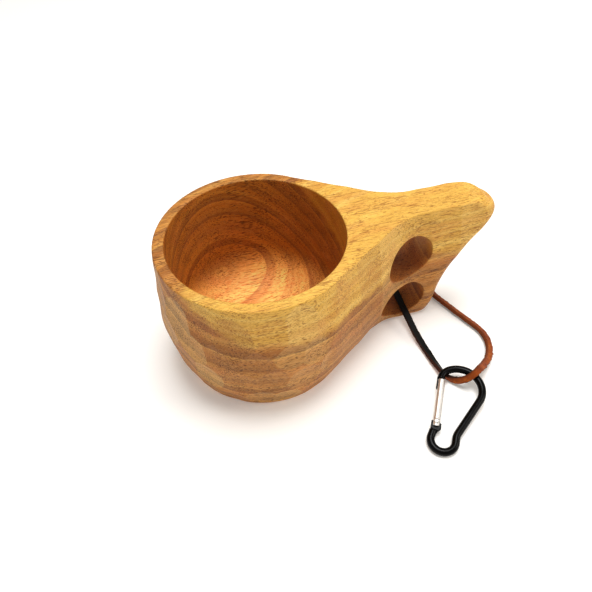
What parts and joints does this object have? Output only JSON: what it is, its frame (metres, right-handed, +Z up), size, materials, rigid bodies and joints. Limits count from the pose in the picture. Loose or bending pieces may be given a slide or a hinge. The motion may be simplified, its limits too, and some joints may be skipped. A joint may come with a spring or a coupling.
{
  "type": "drinking cup",
  "caption": "Carved wooden cup with a two-hole handle, a leather lanyard loop and a snap hook with a sprung gate.",
  "frame": {"origin": "middle of the bowl's flat base, on the surface that the cup stands on", "axes": "+X along the handle, away from the bowl; +Z up, out of the bowl's mouth; +Y to the left of the handle"},
  "size_m": [0.1624, 0.1363, 0.0715],
  "materials": {
    "wood": "oiled, satin",
    "leather": "one smooth dark side, one rough brown side",
    "black_rod": "gloss black anodised",
    "bright_tube": "polished",
    "spring_wire": "plain"
  },
  "bodies": {
    "cup": {"cup_body": "wood", "lanyard": "leather", "lanyard_knot": "leather"},
    "hook": {"hook_body": "black_rod", "gate_rivet": "bright_tube"},
    "gate": {"hook_gate": "bright_tube", "gate_spring": "spring_wire"},
    "plunger": {"gate_plunger": "spring_wire"}
  },
  "joints": [
    {"name": "hook_turn", "type": "hinge", "parent": "cup", "child": "hook", "pos_m": [0.07909, -0.0607, 0.00526], "axis": [-0.0535, -0.0898, 0.9945], "range_deg": [-25, 45]},
    {"name": "gate_hinge", "type": "hinge", "parent": "hook", "child": "gate", "pos_m": [0.0621, -0.0728, 0.00325], "axis": [0.0535, 0.0898, -0.9945], "range_deg": [0, 28], "stiffness_Nm_per_rad": 0.02, "springref_deg": -28.65},
    {"name": "plunger_slide", "type": "slide", "parent": "gate", "child": "plunger", "axis": [0.5092, 0.8543, 0.1045], "range_m": [0, 0.0006], "deforming": ["gate_spring"]}
  ],
  "couplings": [
    {"joint": "plunger_slide", "follows": "gate_hinge", "m_per_rad": 0.001228}
  ]
}
